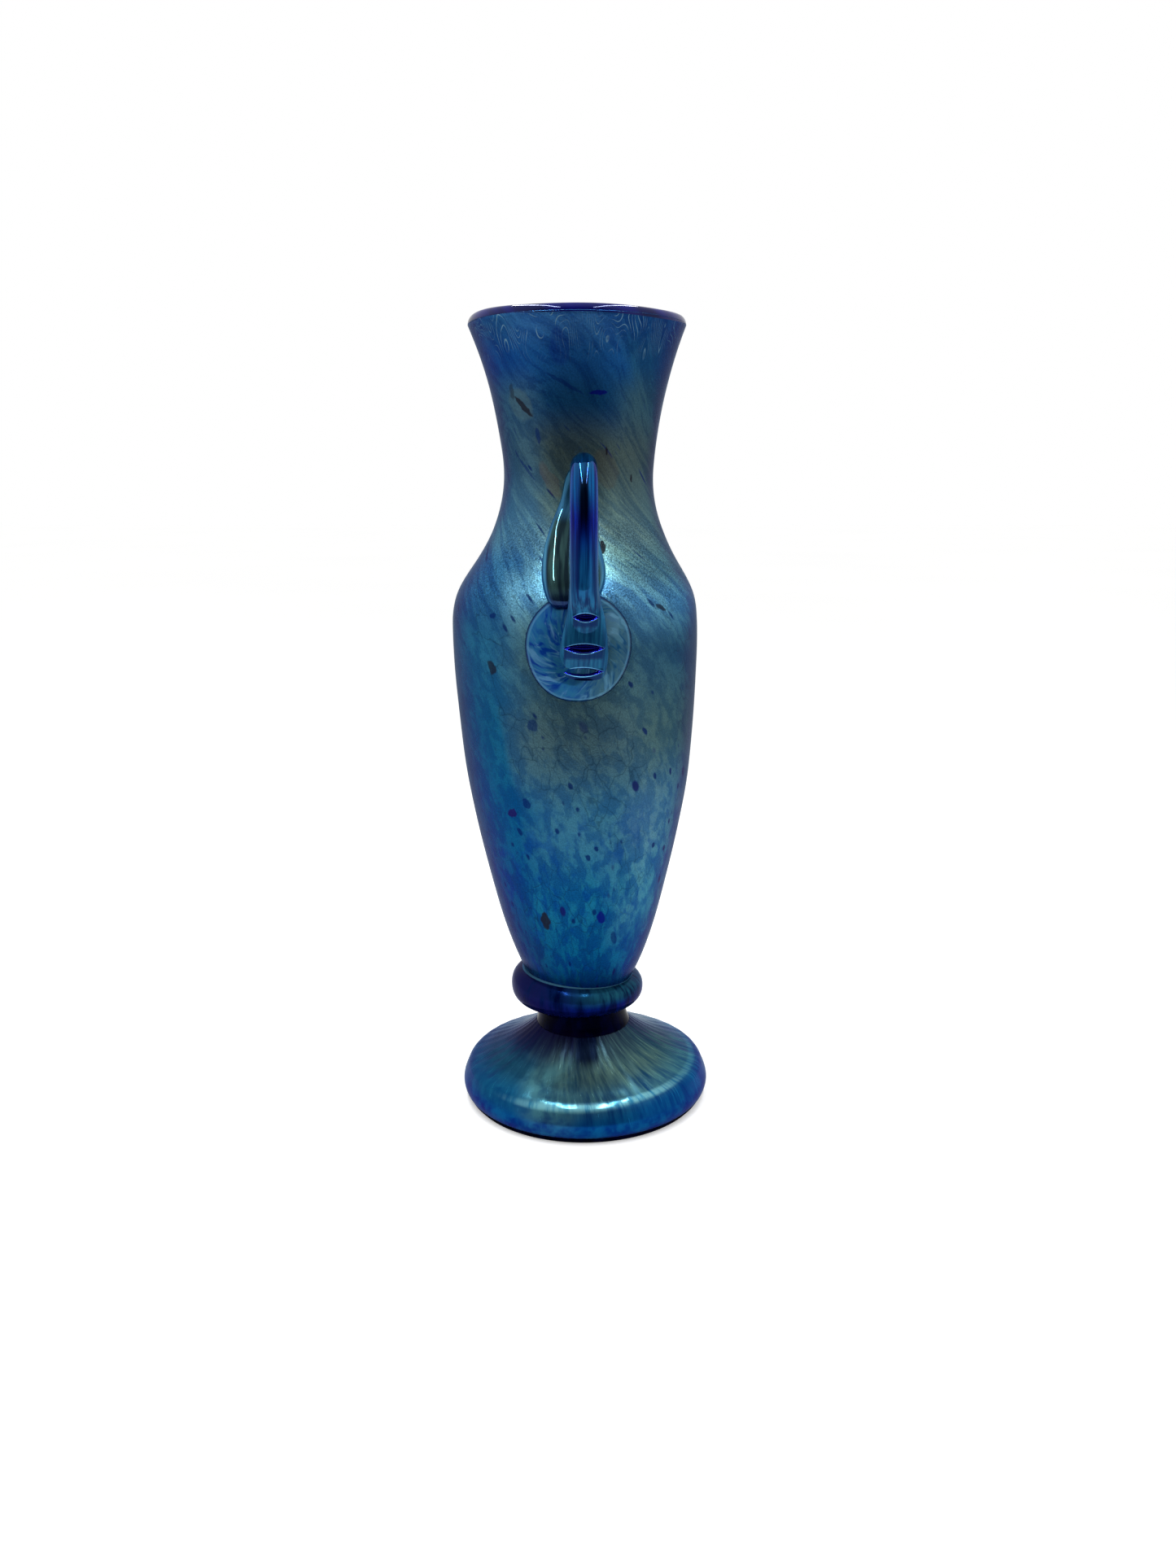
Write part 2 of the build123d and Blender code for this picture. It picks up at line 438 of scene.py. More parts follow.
def rod_path():
    """Points (reach, height) from inside the neck, over the bend and down to the tail."""
    start, pull = np.array([23.0, 201.5]), np.array([27.5, 208.6])
    middle_reach, bend_level, bend_radius = 35.5, 199.0, 10.0
    crown = np.array([middle_reach, bend_level + bend_radius])
    t = np.linspace(0, 1, 26)[:-1, None]
    rise = (1 - t)**2 * start + 2 * t * (1 - t) * pull + t**2 * crown
    turn = np.linspace(math.pi / 2, 0, 36)[:-1, None]
    bend = np.hstack([middle_reach + bend_radius * np.cos(turn),
                      bend_level + bend_radius * np.sin(turn)])
    down = np.linspace(bend_level, ROD_END, 30)[:-1, None]
    run = np.hstack([np.full_like(down, middle_reach + bend_radius), down])
    return np.vstack([rise, bend, run])


def handle_rod(name, side):
    """The round rod that bends over from the neck and its flattened, crimped tail."""
    columns, rod_x = 100, 1.6
    path, tail = rod_path(), through(TAIL, 240)
    reach, level = np.vstack([path, tail[:, :2]]).T
    rod = np.full(len(path), ROD_RADIUS)
    wide = np.concatenate([rod, tail[:, 2]])[:, None]
    thick = np.concatenate([rod, tail[:, 3]])[:, None]
    along = np.gradient(np.stack([reach, level], -1), axis=0)
    along /= np.linalg.norm(along, axis=1)[:, None]
    x_middle = rod_x + np.interp(level, (148, 152, 158, 167, 175), (-0.3, -0.1, 0.3, 0.8, 0.3))
    steps = np.hypot(np.diff(reach), np.diff(level))
    distance = np.concatenate([[0], np.cumsum(steps)])[:, None]
    reach, level = reach[:, None], level[:, None]
    angle = around(columns)[None, :]
    uneven = 1 + 0.02 * np.sin(2 * angle + level / 9)
    aside = wide * uneven * np.cos(angle)
    outward = -thick * uneven * np.sin(angle)
    points = np.stack([x_middle[:, None] + aside, reach - outward * along[:, 1:],
                       level + outward * along[:, :1]], -1)
    flow = np.stack(np.broadcast_arrays(aside, outward, distance * 0.12), -1)
    return shell(name, placed(crimped(points, outward), side), flow=flow)


def crimped(points, outward):
    """Presses the grooves across the tail: each is lens-shaped, with glass pushed up into a
    rounded lip along its lower side."""
    depth, lip_below, lip_above = 0.8, 1.9, 0.75
    x, level = points[..., 0], points[..., 2]
    shift = np.zeros_like(x)
    for height, middle, half_width, half_height, rise in CRIMPS:
        open_share = 1 - np.clip(((x - middle) / half_width)**2, 0, 1)
        low_side = height - half_height * open_share
        high_side = height + 0.9 * half_height * open_share
        above = level - low_side
        lip_width = np.where(above < 0, lip_below, lip_above)
        lip = rise * open_share * np.exp(-(above / lip_width)**2)
        inside = np.clip(above / 0.7, 0, 1) * np.clip((high_side - level) / 0.4, 0, 1)
        shift += lip - depth * np.sqrt(open_share) * inside
    points[..., 1] += shift * (outward > 0)
    return points


# ---- materials ----
LEVEL = (1, 1, 0)         # leaves the height out of a place
HALF = (0.5, 0.5, 0.5)    # the mean of a noise's colour
WHITE = (1, 1, 1, 1)
VIOLET = (30, 18, 88)
BROWN = (30, 26, 36)
INK = (6, 34, 96)


def srgb(red, green, blue):
    """A colour given as on a screen, 0 to 255."""
    linear = [c / 3294.6 if c <= 10.3 else ((c / 255 + 0.055) / 1.055)**2.4
              for c in (red, green, blue)]
    return (*linear, 1.0)


class Nodes:
    """A node tree in the making. Most calls add nodes and give back their output."""

    def __init__(self, tree):
        self.tree = tree

    def add(self, kind, inputs, output=0, **settings):
        node = self.tree.nodes.new("ShaderNode" + kind)
        for key, value in settings.items():
            setattr(node, key, value)
        for key, value in inputs.items():
            self.join(node.inputs[key], value)
        return node.outputs[output]

    def join(self, socket, value):
        if isinstance(value, bpy.types.NodeSocket):
            self.tree.links.new(value, socket)
        else:
            socket.default_value = value

    def parts(self, vector):
        node = self.tree.nodes.new("ShaderNodeSeparateXYZ")
        self.join(node.inputs[0], vector)
        return node.outputs

    def vector(self, operation, a, b=(0, 0, 0), output=0):
        return self.add("VectorMath", {0: a, 1: b}, output=output, operation=operation)

    def scaled(self, vector, amount):
        return self.add("VectorMath", {0: vector, "Scale": amount}, operation="SCALE")

    def math(self, operation, a, b=0.0):
        return self.add("Math", {0: a, 1: b}, operation=operation)

    def times(self, product, *others):
        for other in others:
            product = self.math("MULTIPLY", product, other)
        return product

    def away(self, value, middle):
        """How far the value is from the middle one."""
        return self.math("ABSOLUTE", self.math("SUBTRACT", value, middle))

    def noise(self, vector, size, detail=2.0, rough=0.5, output=0):
        return self.add("TexNoise", {"Vector": vector, "Scale": 1 / size, "Detail": detail,
                                     "Roughness": rough}, output=output)

    def cells(self, vector, size, feature="F1", output="Distance", **inputs):
        return self.add("TexVoronoi", {"Vector": vector, "Scale": 1 / size, **inputs},
                        output=output, feature=feature)

    def step(self, value, start, end, low=0.0, high=1.0):
        """Eases from low to high while the value goes from start to end."""
        return self.add("MapRange", {"Value": value, "From Min": start, "From Max": end,
                                     "To Min": low, "To Max": high},
                        interpolation_type="SMOOTHSTEP")

    def mix(self, factor, a, b, blend="MIX"):
        return self.add("Mix", {0: factor, 6: a, 7: b}, output=2, data_type="RGBA",
                        blend_type=blend)

    def blend(self, factor, a, b):
        return self.add("Mix", {0: factor, 2: a, 3: b}, output=0)

    def paint(self, colour, tone, *shares):
        """Lays a screen colour over the colour, as strongly as the product of the shares."""
        return self.mix(self.times(*shares), colour, srgb(*tone))

    def ladder(self, value, low, high, steps):
        """A colour or a number that changes with a value, through steps of (value, colour)."""
        share = self.add("MapRange", {"Value": value, "From Min": low, "From Max": high})
        ramp = self.tree.nodes.new("ShaderNodeValToRGB")
        self.join(ramp.inputs[0], share)
        ramp.color_ramp.interpolation = "EASE"
        stops = ramp.color_ramp.elements
        for number, (at, tone) in enumerate(steps):
            spot = (at - low) / (high - low)
            stop = stops[number] if number < 2 else stops.new(spot)
            stop.position = spot
            stop.color = srgb(*tone) if isinstance(tone, tuple) else (tone, tone, tone, 1)
        return ramp.outputs[0]

    def wander(self, vector, size, amount):
        """The same coordinates, pushed about by noise."""
        push = self.vector("SUBTRACT", self.noise(vector, size, output=1), HALF)
        return self.vector("ADD", vector, self.scaled(push, amount))

    def spot(self, place, centre, size, lean=0.0):
        """1 inside a small ragged oval round a point of the vase, 0 outside. Its size is (width,
        height), and it leans to the side (radians)."""
        small, depth = min(size), 6.0
        loose = self.wander(place, 1.2 * small, 0.8 * small)
        away = self.add("VectorRotate", {"Vector": self.vector("SUBTRACT", loose, centre),
                                         "Angle": lean}, rotation_type="Y_AXIS")
        away = self.vector("DIVIDE", away, (size[0] / 2, depth, size[1] / 2))
        return self.step(self.vector("LENGTH", away, output="Value"), 1.1, 0.8)

    def bump(self, height, strength, distance):
        return self.add("Bump", {"Height": height, "Strength": strength, "Distance": distance})


class Look(Nodes):
    """A material in the making. Its finish is Specular_Tint=... and so on."""

    def __init__(self, name, **finish):
        self.material = bpy.data.materials.new(name)
        self.material.use_nodes = True
        super().__init__(self.material.node_tree)
        self.shader = self.tree.nodes["Principled BSDF"]
        self.done(**finish)

    def flow(self):
        """Position in the pattern of the drawn glass."""
        return self.add("Attribute", {}, output="Vector", attribute_name="flow")

    def place(self):
        """Position on the vase, in millimetres."""
        return self.scaled(self.add("TexCoord", {}, output="Object"), 1 / MM)

    def done(self, **finish):
        for socket, value in finish.items():
            self.join(self.shader.inputs[socket.replace("_", " ")], value)
        return self.material


# ---- the body's skin ----
BODY_SPAN = (34, 254)     # heights from the stem to the lip

# Marks in the skin at the front: centre, (width, height), lean, strength and colour.
MARKS = (
    ((-16.5, -19.0, 227.0), (7.0, 12.0), 0.6, 0.35, (84, 112, 116)),
    ((-15.5, -19.0, 226.5), (1.5, 9.0), 0.75, 0.85, BROWN),
    ((-19.0, -17.0, 231.0), (1.6, 5.0), 0.1, 0.5, BROWN),
    ((-11.5, -21.0, 218.5), (1.2, 5.0), 0.2, 0.6, INK),
    ((-15.0, -18.0, 209.0), (0.8, 9.0), 0.65, 0.6, INK),
    ((6.2, -26.0, 230.2), (5.8, 1.3), 0.05, 0.9, (8, 14, 110)),
    ((-3.5, -26.0, 232.6), (13.0, 1.1), -0.5, 0.6, INK),
    ((-5.0, -30.0, 242.5), (5.0, 11.0), 0.15, 0.35, (8, 22, 116)),
    ((-8.0, -22.0, 205.5), (4.0, 13.0), 0.55, 0.25, (110, 88, 70)),
    ((8.5, -22.0, 209.5), (8.0, 12.0), 0.5, 0.25, (92, 82, 66)),
    ((8.7, -22.0, 214.0), (0.7, 2.6), 0.1, 0.9, BROWN),
    ((16.2, -17.0, 206.3), (0.7, 2.4), 0.0, 0.9, BROWN),
    ((7.3, -28.4, 186.3), (2.0, 4.2), 0.1, 0.95, (16, 6, 14)),
    ((24.7, -26.0, 169.0), (4.4, 1.5), -0.5, 0.8, BROWN),
    ((-25.0, -29.0, 166.5), (2.2, 1.7), 0.2, 0.8, INK),
    ((-25.5, -29.0, 151.0), (2.6, 4.4), 0.35, 0.8, BROWN),
    ((-13.3, -35.0, 134.5), (3.4, 3.6), 0.3, 0.6, INK),
    ((-15.6, -30.0, 110.0), (2.8, 3.6), 0.3, 0.8, INK),
    ((-20.0, -27.0, 105.8), (2.8, 3.2), 0.0, 0.9, VIOLET),
    ((-10.3, -25.0, 69.6), (2.6, 6.8), 0.15, 0.9, BROWN),
    ((7.3, -25.0, 71.4), (2.8, 4.6), 0.0, 0.9, (8, 16, 112)),
    ((11.2, -22.0, 63.4), (2.4, 5.2), 0.0, 0.7, INK),
)


def body_tones(look, place, height, clouds):
    """The broad colours: one run of colours up each side of the vase, one up its front. Each run
    is paler on the shoulder, a painted highlight of the lamps overhead. The front run, used at
    the back as well, carries the greyer olive that the iridescent skin shows where it faces
    the viewer, a painted reflection.
    """
    # every run is paler on the shoulder: a painted highlight
    left = look.ladder(height, *BODY_SPAN, (
        (40, (4, 52, 100)), (55, (6, 62, 108)), (78, (4, 68, 122)), (104, (8, 76, 124)),
        (132, (18, 84, 126)), (156, (34, 94, 134)), (170, (36, 86, 130)), (180, (44, 94, 136)),
        (190, (72, 116, 142)), (213, (54, 86, 108)), (228, (46, 82, 112)), (240, (18, 66, 130)),
        (250, (30, 76, 128))))
    # the front run: its olive greys are a painted reflection, its pale band at 174 to 182 a
    # painted highlight
    front = look.ladder(height, *BODY_SPAN, (
        (40, (2, 58, 108)), (55, (4, 76, 124)), (78, (14, 88, 132)), (104, (44, 98, 132)),
        (132, (62, 94, 110)), (156, (70, 106, 118)), (174, (96, 156, 192)), (182, (100, 148, 158)),
        (192, (90, 120, 124)), (213, (60, 78, 82)), (228, (16, 58, 100)), (240, (20, 70, 130)),
        (250, (42, 90, 148))))
    right = look.ladder(height, *BODY_SPAN, (
        (40, (6, 58, 110)), (55, (12, 82, 132)), (78, (56, 118, 152)), (104, (68, 114, 144)),
        (132, (62, 94, 104)), (156, (46, 86, 112)), (170, (74, 128, 164)), (180, (70, 108, 124)),
        (190, (76, 104, 112)), (213, (60, 78, 84)), (228, (46, 78, 98)), (240, (24, 72, 114)),
        (250, (20, 62, 116))))
    across, toward, _ = look.parts(look.vector("NORMALIZE", look.vector("MULTIPLY", place, LEVEL)))
    loose = look.times(look.math("SUBTRACT", clouds, 0.5), 1.2)
    right_share = look.step(look.math("ADD", across, loose), -0.45, 0.45)
    front_share = look.math("ADD", look.math("ABSOLUTE", toward), look.times(loose, 0.4))
    return look.mix(look.step(front_share, 0.78, 1.0), look.mix(right_share, left, right), front)


def body_strokes(look, flow, place, height):
    """The pattern's coordinates. The glass was turned most where it's narrow, so there they make
    large strokes that curl round each other."""
    curl = look.vector("SUBTRACT", look.noise(place, 30, detail=1, output=1), HALF)
    curl = look.scaled(curl, look.step(height, 186, 232, 4, 40))
    return look.vector("ADD", flow, look.vector("MULTIPLY", curl, (1, 1, 0.35)))


def body_mottle(look, swept, height, clouds, streaks):
    """Round patches low down and drawn streaks higher up, from 0 (dark) to 1 (pale)."""
    wide = look.wander(swept, 4.5, 3.4)
    wide = look.parts(look.cells(wide, 3.8, "SMOOTH_F1", "Color", Smoothness=0.6))[0]
    small = look.wander(swept, 2.4, 2.0)
    small = look.parts(look.cells(small, 2.0, "SMOOTH_F1", "Color", Smoothness=0.5))[1]
    blobs = look.blend(0.42, look.step(wide, 0.2, 0.8), look.step(small, 0.25, 0.8))
    mottle = look.noise(look.wander(swept, 7, 5), 3.3, detail=4, rough=0.62)
    pattern = look.blend(0.35, blobs, look.step(mottle, 0.38, 0.62))
    drawn = look.step(look.blend(0.4, streaks, clouds), 0.40, 0.60)
    pattern = look.blend(look.step(height, 120, 180, 0, 0.5), pattern, drawn)
    fibres = look.noise(swept, 0.9, detail=3, rough=0.65)
    pattern = look.blend(0.10, pattern, look.step(fibres, 0.35, 0.65))
    contrast = look.ladder(height, *BODY_SPAN, (
        (50, 0.64), (85, 0.58), (108, 0.46), (128, 0.38), (150, 0.44), (172, 0.58), (200, 0.46),
        (228, 0.42), (248, 0.5)))
    return look.blend(contrast, 0.5, look.step(pattern, 0.25, 0.75))


def body_tinted(look, colour, pattern, height):
    """The pattern multiplies the broad colours by a dark or a pale tint."""
    high = look.step(height, 110, 160)
    dark = look.mix(high, (0.22, 0.52, 0.84, 1), (0.38, 0.54, 0.76, 1))
    pale = look.mix(high, (2.00, 1.60, 1.20, 1), (1.75, 1.58, 1.28, 1))
    return look.mix(1.0, colour, look.mix(pattern, dark, pale), "MULTIPLY")


def body_grain(look, colour, flow, place, height):
    """Deep blue glass in gaps low down, and a fine grain that lightens and darkens the colour,
    strongest on the shoulder, where it is a painted glitter of the highlight.
    """
    gaps = look.step(look.cells(look.wander(flow, 3.5, 2.0), 3.0), 0.50, 0.72)
    some = look.step(look.noise(flow, 9), 0.40, 0.58)
    colour = look.paint(colour, (2, 56, 132), gaps, look.step(height, 118, 92), some, 0.45)
    # a fine grain in the colour, and on the shoulder a painted glitter of the highlight
    grain_and_glint = look.step(look.noise(place, 0.42, detail=2, rough=0.7), 0.34, 0.66, 0.52, 1.60)
    near_shoulder = look.step(look.away(height, 181), 18, 6, 0.3, 1)
    return look.scaled(colour, look.blend(near_shoulder, 1.0, grain_and_glint))


def body_specks(look, colour, flow, swept, height, clouds):
    """Flecks of blue, violet dots on the lower body and fine crackle below the shoulder."""
    bent = look.wander(swept, 2.5, 1.0)
    fleck = look.step(look.cells(bent, 3.8), 0.22, 0.12)
    chosen = look.step(look.parts(look.cells(bent, 3.8, output="Color"))[0], 0.56, 0.60)
    low = look.step(height, 232, 205, 0.3, 1.0)
    colour = look.paint(colour, (4, 30, 92), fleck, chosen, low, 0.85)
    dots = look.step(look.cells(look.vector("ADD", flow, (31, 7, 3)), 11.0), 0.12, 0.07)
    colour = look.paint(colour, (20, 14, 92), dots, look.step(height, 150, 120), 0.85)
    crackle = look.cells(look.wander(flow, 5, 3.5), 4.5, "DISTANCE_TO_EDGE")
    crackle = look.times(look.step(crackle, 0.030, 0.006), look.step(clouds, 0.44, 0.56))
    return look.paint(colour, (8, 34, 56), crackle, look.step(height, 190, 165), 0.4)


def lip_threads(look, colour, place, height):
    """Hair-thin pale threads that hang in loops under the lip."""
    hanging = look.vector("MULTIPLY", place, (1, 1, 0.16))
    waves = look.math("SINE", look.times(look.noise(hanging, 9.0, detail=1), 75))
    thread = look.step(look.math("ABSOLUTE", waves), 0.30, 0.03)
    near_lip = look.step(height, 237, 247)
    some = look.step(look.noise(place, 5), 0.40, 0.62)
    return look.paint(colour, (112, 152, 176), thread, near_lip, some, 0.9)


def body_pattern():
    look = Look(
        "iridescent_body_skin", Metallic=0.55, Specular_IOR_Level=0.09,
        Specular_Tint=srgb(20, 120, 190))
    flow, place = look.flow(), look.place()
    height = look.parts(place)[2]
    clouds = look.noise(look.wander(flow, 20, 8), 22, detail=3)
    swept = body_strokes(look, flow, place, height)
    streaks = look.noise(look.wander(swept, 9, 4), 3.6, detail=4, rough=0.58)
    colour = body_tones(look, place, height, clouds)
    pattern = body_mottle(look, swept, height, clouds, streaks)
    colour = body_tinted(look, colour, pattern, height)
    colour = body_grain(look, colour, flow, place, height)
    colour = body_specks(look, colour, flow, swept, height, clouds)
    colour = lip_threads(look, colour, place, height)
    for centre, size, lean, strength, tone in MARKS:
        colour = look.paint(colour, tone, look.spot(place, centre, size, lean), strength)
    # painted shade: the colour darkens towards the outline, where the surface turns away from the
    # viewer
    facing = look.add("LayerWeight", {"Blend": 0.5}, output="Facing")
    colour = look.paint(colour, (0, 40, 50), look.step(facing, 0.45, 0.95, 0, 0.6))
    rough = look.step(clouds, 0.3, 0.7, 0.25, 0.34)
    relief = look.blend(0.5, streaks, look.noise(place, 0.5, detail=2))
    return look.done(Base_Color=colour, Roughness=rough, Normal=look.bump(relief, 0.38, 0.0004))


# ---- the foot's skin ----
FOOT_SPAN = (14, 44)      # radii from the stem to the edge


def foot_tones(look, radius, side, fan, mottle):
    """Pale rays over deep blue: greener on the right, cloudier on the left."""
    deep = look.ladder(radius, *FOOT_SPAN, (
        (14, (18, 12, 48)), (20, (16, 32, 62)), (28, (14, 56, 82)), (38, (2, 58, 108)),
        (42, (0, 46, 116))))
    pale_left = look.ladder(radius, *FOOT_SPAN, (
        (14, (30, 30, 70)), (20, (34, 62, 92)), (28, (38, 88, 112)), (38, (28, 104, 138)),
        (42, (4, 78, 132))))
    pale_right = look.ladder(radius, *FOOT_SPAN, (
        (14, (38, 42, 70)), (20, (66, 96, 100)), (28, (86, 118, 110)), (38, (78, 130, 136)),
        (42, (16, 96, 148))))
    cloudy = look.blend(0.4, look.step(mottle, 0.32, 0.70, 0, 0.7), fan)
    pale = look.mix(side, pale_right, pale_left)
    return look.mix(look.blend(side, fan, cloudy), deep, pale)


def foot_front(look, colour, place, radius, drifted, bands, mottle):
    """At the front: bare dark glass left of the stem, a dark streak that runs out from it, which
    is a painted reflection of the body and the handle, and left of the streak the overlay at its
    palest."""
    x, y, _ = look.parts(place)
    bare = look.times(look.step(radius, 24, 18), look.step(drifted, 7, -3))
    colour = look.paint(colour, (16, 12, 50), bare, 0.7)
    middle = look.step(bands, 0.2, 0.8, 1.2, 3.8)
    # painted reflection: the dark streak is the body and the handle mirrored in the foot
    streak = look.times(look.step(look.away(x, middle), 4.4, 2.6), look.step(y, -8, -12))
    colour = look.paint(colour, (2, 6, 36), streak, look.step(radius, 27, 22), 0.92)
    cloud = look.times(look.step(look.away(x, -10), 12, 3, 0, 0.6), look.step(y, -20, -27))
    return look.paint(colour, (84, 142, 148), cloud, look.step(mottle, 0.34, 0.62, 0.3, 1.0))


def foot_edge(look, colour, place, edge, rays, mottle):
    """A pale band painted along the rolled edge, strongest at the front, is a painted highlight;
    spotted blue glass lies below it.
    """
    x, y, height = look.parts(place)
    # painted highlight along the rolled edge, strongest at the front
    front = look.times(look.step(y, -18, -34, 0.25, 1.0), look.step(x, -30, -6))
    tone = look.mix(look.step(rays, 0.35, 0.6), srgb(60, 150, 190), srgb(140, 214, 226))
    colour = look.mix(look.times(edge, 0.7, front), colour, tone)
    low_band = look.step(height, 9.5, 5.5)
    low_tone = look.mix(look.step(mottle, 0.38, 0.64), srgb(0, 40, 116), srgb(8, 84, 140))
    colour = look.mix(look.times(low_band, 0.8), colour, low_tone)
    spots = look.step(look.cells(look.vector("ADD", place, (11, 5, 0)), 11.0), 0.16, 0.08, 0, 0.6)
    return look.paint(colour, (24, 18, 104), spots, low_band)


def foot_pattern():
    look = Look(
        "iridescent_foot_skin", Metallic=0.6, Specular_IOR_Level=0.09,
        Specular_Tint=srgb(50, 130, 190))
    flow, place = look.flow(), look.place()
    x, _, height = look.parts(place)
    radius = look.vector("LENGTH", look.vector("MULTIPLY", place, LEVEL), output="Value")
    rays = look.noise(flow, 1.3, detail=4, rough=0.6)
    bands = look.noise(flow, 5.5, detail=2)
    mottle = look.noise(look.wander(place, 6, 4), 5.5, detail=4, rough=0.6)
    drifted = look.math("ADD", x, look.times(look.math("SUBTRACT", bands, 0.5), 24))
    fan = look.blend(0.4, look.step(rays, 0.32, 0.68), look.step(bands, 0.25, 0.65))
    # the rolled edge, where a highlight is painted and the glass is glossier
    edge = look.times(look.step(radius, 37.5, 38.8), look.step(radius, 40.8, 39.6),
                      look.step(height, 10, 11))
    colour = foot_tones(look, radius, look.step(drifted, -4, -18), fan, mottle)
    colour = foot_front(look, colour, place, radius, drifted, bands, mottle)
    colour = foot_edge(look, colour, place, edge, rays, mottle)
    rough = look.blend(edge, look.step(rays, 0.3, 0.7, 0.20, 0.28), 0.16)
    return look.done(Base_Color=colour, Roughness=rough, Normal=look.bump(rays, 0.18, 0.0003))


# ---- cobalt glass ----
def lip_glass():
    """The bubble: clear cobalt, seen at the lip and inside the neck."""
    look = Look(
        "cobalt_bubble_glass", Roughness=0.05, IOR=1.45, Specular_IOR_Level=0.5,
        Specular_Tint=srgb(190, 205, 255))
    clouds = look.noise(look.flow(), 9, detail=2)
    colour = look.mix(look.step(clouds, 0.35, 0.65), srgb(2, 4, 58), srgb(12, 14, 94))
    return look.done(Base_Color=colour, Normal=look.bump(clouds, 0.1, 0.0008))


def cobalt_glass():
    """The stem and the core of the foot, nearly black."""
    look = Look(
        "cobalt_glass", Roughness=0.10, IOR=1.45, Specular_IOR_Level=0.02,
        Specular_Tint=srgb(90, 120, 255))
    flow = look.flow()
    streaks = look.noise(look.vector("MULTIPLY", flow, (1, 1, 0.4)), 2.6, detail=3)
    clouds = look.noise(flow, 12, detail=2)
    colour = look.mix(look.step(streaks, 0.35, 0.65), srgb(0, 1, 14), srgb(1, 4, 38))
    colour = look.paint(colour, (10, 2, 30), look.step(clouds, 0.45, 0.7, 0, 0.5))
    return look.done(Base_Color=colour, Normal=look.bump(clouds, 0.1, 0.0008))


def collar_glass():
    """Cobalt with a painted green sheen on its upper right, maroon on its left and a pale seam
    that is a painted highlight.
    """
    look = Look(
        "collar_glass", Roughness=0.2, IOR=1.45, Metallic=0.4, Specular_IOR_Level=0.08,
        Specular_Tint=srgb(60, 120, 200))
    flow, place = look.flow(), look.place()
    x, _, height = look.parts(place)
    past_seam = look.parts(flow)[2]
    streaks = look.noise(look.vector("MULTIPLY", flow, (1, 1, 1.4)), 2.4, detail=4, rough=0.6)
    colour = look.mix(look.step(streaks, 0.34, 0.66), srgb(0, 6, 52), srgb(2, 22, 98))
    # painted sheen: paler green on the upper side, strongest on the right
    sheen = look.times(look.step(height, 37.5, 41.5), look.step(x, -8, 12, 0.1, 0.8))
    colour = look.paint(colour, (32, 96, 108), sheen, look.step(streaks, 0.28, 0.62))
    maroon = look.times(look.step(x, 4, -18), look.step(streaks, 0.40, 0.6))
    colour = look.paint(colour, (24, 4, 44), maroon, 0.6)
    # painted highlight: a pale line along the seam
    seam = look.times(look.step(past_seam, -0.13, -0.08), look.step(x, -24, -10, 0.3, 0.8))
    colour = look.paint(colour, (96, 160, 190), seam)
    return look.done(Base_Color=colour, Normal=look.bump(streaks, 0.12, 0.0004))


# ---- handle glass ----
def pad_glass():
    """Clear glass with blue swirls trailed into it, and a pale line, a painted highlight, inside
    its dark edge, which is painted shade where the pad turns down to the body.
    """
    look = Look(
        "swirled_pad_glass", Roughness=0.08, IOR=1.45, Metallic=0.25, Specular_IOR_Level=0.3,
        Specular_Tint=srgb(90, 170, 255))
    flow, place = look.flow(), look.place()
    x = look.parts(place)[0]
    out = look.parts(flow)[2]
    curled = look.wander(look.vector("MULTIPLY", flow, (1, 1, 0.6)), 5.5, 9)
    threads = look.noise(curled, 3.6, detail=5, rough=0.62)
    waves = look.math("SINE", look.times(look.noise(curled, 6.5, detail=2), 44))
    swirl = look.blend(0.42, look.step(threads, 0.41, 0.59), look.step(waves, -0.9, 0.9))
    blue = look.mix(swirl, srgb(46, 124, 174), srgb(0, 48, 132))
    grey = look.mix(swirl, srgb(76, 124, 142), srgb(18, 70, 110))
    colour = look.mix(look.step(x, -3, 8), blue, grey)
    wisps = look.noise(look.vector("ADD", curled, (9, 4, 0)), 3.0, detail=4)
    colour = look.paint(colour, (110, 172, 206), look.step(wisps, 0.52, 0.68), 0.5)
    window = look.spot(place, (10.0, -41.0, 165.0), (6.0, 8.5), 0.3)
    colour = look.paint(colour, (130, 180, 205), window, 0.25)
    # painted highlight: a pale line just inside the rim
    painted_rim_highlight = look.times(look.step(out, 13.6, 13.9), look.step(out, 14.4, 14.1))
    colour = look.paint(colour, (100, 165, 200), painted_rim_highlight, 0.4)
    # painted shade: the rim is darkened where the pad turns down to the body
    colour = look.paint(colour, (2, 38, 78), look.step(out, 14.2, 14.6), 0.9)
    clear = look.math("SUBTRACT", 0.5, look.times(swirl, 0.4))
    relief = look.bump(threads, 0.08, 0.0004)
    return look.done(Base_Color=colour, Transmission_Weight=clear, Normal=relief)


